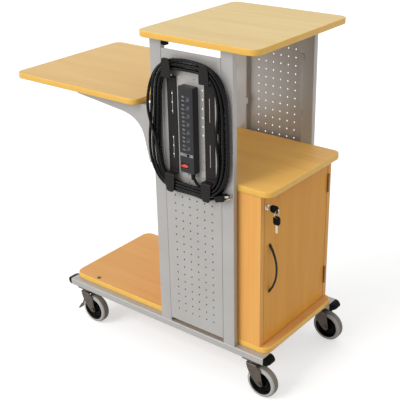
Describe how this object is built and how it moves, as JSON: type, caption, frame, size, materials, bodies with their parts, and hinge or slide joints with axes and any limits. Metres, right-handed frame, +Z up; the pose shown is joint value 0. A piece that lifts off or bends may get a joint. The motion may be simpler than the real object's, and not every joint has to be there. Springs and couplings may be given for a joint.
{
  "type": "lectern stand",
  "caption": "Mobile lectern stand on swivel casters, with a lectern top, side shelf, locking cabinet, equipment bay, and a power strip with its wound cord.",
  "frame": {"origin": "middle of the whole cart's footprint, on the floor", "axes": "+Z up; +X towards the cabinet's door end; +Y towards the far tower, away from the power strip"},
  "size_m": [1.07, 0.5196, 1.159],
  "materials": {
    "grey_powder_coat": "silver-grey powder coat",
    "maple_laminate": "wood-grain laminate on particle board",
    "edge_banding": "tan edge banding",
    "black_cap": "moulded black",
    "zinc_steel": "dark zinc",
    "pedal_steel": "black pedal",
    "grey_tread": "grey thermoplastic rubber",
    "hub_nylon": "moulded hub",
    "hinge_steel": "satin nickel",
    "black_handle": "black enamel",
    "lock_chrome": "bright",
    "key_set": "black bow on nickel blade",
    "black_bracket": "matt black powder coat",
    "strip_housing": "charcoal enamel",
    "outlet_plastic": "black moulding",
    "red_rocker": "red moulding",
    "cord_jacket": "black flexible jacket"
  },
  "bodies": {
    "root": {"near_rail": "grey_powder_coat", "far_rail": "grey_powder_coat", "rail_end_caps": "black_cap", "cross_tubes": "grey_powder_coat", "caster_heads": "zinc_steel", "bottom_shelf": "maple_laminate", "bottom_shelf_edge_band": "edge_banding", "top_shelf": "maple_laminate", "top_shelf_edge_band": "edge_banding", "side_shelf": "maple_laminate", "side_shelf_edge_band": "edge_banding", "mid_shelf": "maple_laminate", "mid_shelf_edge_band": "edge_banding", "deck_bolts": "zinc_steel", "near_posts": "grey_powder_coat", "far_posts": "grey_powder_coat", "near_panel": "grey_powder_coat", "far_panel": "grey_powder_coat", "panel_tabs": "grey_powder_coat", "post_top_plates": "grey_powder_coat", "cable_clip": "black_cap", "near_gusset": "grey_powder_coat", "far_gusset": "grey_powder_coat", "cabinet_near_side": "maple_laminate", "cabinet_far_side": "maple_laminate", "cabinet_back": "maple_laminate", "hinge_frame_leaves": "hinge_steel", "cord_bracket_left": "black_bracket", "cord_bracket_right": "black_bracket", "outlet_inserts": "outlet_plastic", "power_strip_housing": "strip_housing", "strain_relief": "cord_jacket", "cord_coil": "cord_jacket", "cord_lead": "cord_jacket", "cord_tail": "cord_jacket", "plug": "cord_jacket"},
    "door": {"door": "maple_laminate", "door_handle": "black_handle", "hinge_door_leaves": "hinge_steel", "lock_barrel": "lock_chrome"},
    "lock": {"lock_plug": "lock_chrome", "key": "key_set"},
    "spare_key": {"spare_key": "key_set"},
    "rocker": {"rocker_switch": "red_rocker"},
    "breaker": {"breaker_button": "outlet_plastic"},
    "fork_near_left": {"caster_fork_near_left": "zinc_steel"},
    "wheel_near_left": {"caster_tyre_near_left": "grey_tread", "caster_hub_near_left": "hub_nylon"},
    "pedal_near_left": {"brake_pedal_near_left": "pedal_steel"},
    "fork_near_right": {"caster_fork_near_right": "zinc_steel"},
    "wheel_near_right": {"caster_tyre_near_right": "grey_tread", "caster_hub_near_right": "hub_nylon"},
    "fork_far_left": {"caster_fork_far_left": "zinc_steel"},
    "wheel_far_left": {"caster_tyre_far_left": "grey_tread", "caster_hub_far_left": "hub_nylon"},
    "pedal_far_left": {"brake_pedal_far_left": "pedal_steel"},
    "fork_far_right": {"caster_fork_far_right": "zinc_steel"},
    "wheel_far_right": {"caster_tyre_far_right": "grey_tread", "caster_hub_far_right": "hub_nylon"}
  },
  "joints": [
    {"name": "door_swing", "type": "hinge", "parent": "root", "child": "door", "pos_m": [0.4687, 0.1846, 0.178], "axis": [0, 0, 1], "range_deg": [0, 170]},
    {"name": "lock_turn", "type": "hinge", "parent": "door", "child": "lock", "pos_m": [0.465, -0.172, 0.662], "axis": [-1, 0, 0], "range_deg": [0, 90]},
    {"name": "spare_key_hang", "type": "hinge", "parent": "lock", "child": "spare_key", "pos_m": [0.5005, -0.172, 0.6486], "axis": [-1, 0, 0], "range_deg": [-90, 0]},
    {"name": "rocker_tilt", "type": "hinge", "parent": "root", "child": "rocker", "pos_m": [0.219, -0.2525, 0.7655], "axis": [0, 0, -1], "range_deg": [0, 18]},
    {"name": "breaker_press", "type": "slide", "parent": "root", "child": "breaker", "axis": [0, 1, 0], "range_m": [0, 0.0015], "stiffness_N_per_m": 200},
    {"name": "swivel_near_left", "type": "hinge", "parent": "root", "child": "fork_near_left", "pos_m": [-0.317, -0.207, 0.1187], "axis": [0, 0, 1], "continuous": true},
    {"name": "roll_near_left", "type": "hinge", "parent": "fork_near_left", "child": "wheel_near_left", "pos_m": [-0.279, -0.207, 0.054], "axis": [0, 1, 0], "continuous": true},
    {"name": "brake_near_left", "type": "hinge", "parent": "fork_near_left", "child": "pedal_near_left", "pos_m": [-0.326, -0.207, 0.0997], "axis": [0, -1, 0], "range_deg": [0, 10]},
    {"name": "swivel_near_right", "type": "hinge", "parent": "root", "child": "fork_near_right", "pos_m": [0.443, -0.207, 0.1187], "axis": [0, 0, 1], "continuous": true},
    {"name": "roll_near_right", "type": "hinge", "parent": "fork_near_right", "child": "wheel_near_right", "pos_m": [0.481, -0.207, 0.054], "axis": [0, 1, 0], "continuous": true},
    {"name": "swivel_far_left", "type": "hinge", "parent": "root", "child": "fork_far_left", "pos_m": [-0.317, 0.207, 0.1187], "axis": [0, 0, 1], "continuous": true},
    {"name": "roll_far_left", "type": "hinge", "parent": "fork_far_left", "child": "wheel_far_left", "pos_m": [-0.279, 0.207, 0.054], "axis": [0, 1, 0], "continuous": true},
    {"name": "brake_far_left", "type": "hinge", "parent": "fork_far_left", "child": "pedal_far_left", "pos_m": [-0.326, 0.207, 0.0997], "axis": [0, -1, 0], "range_deg": [0, 10]},
    {"name": "swivel_far_right", "type": "hinge", "parent": "root", "child": "fork_far_right", "pos_m": [0.443, 0.207, 0.1187], "axis": [0, 0, 1], "continuous": true},
    {"name": "roll_far_right", "type": "hinge", "parent": "fork_far_right", "child": "wheel_far_right", "pos_m": [0.481, 0.207, 0.054], "axis": [0, 1, 0], "continuous": true}
  ],
  "couplings": [
    {"joint": "spare_key_hang", "follows": "lock_turn", "ratio": -1}
  ]
}
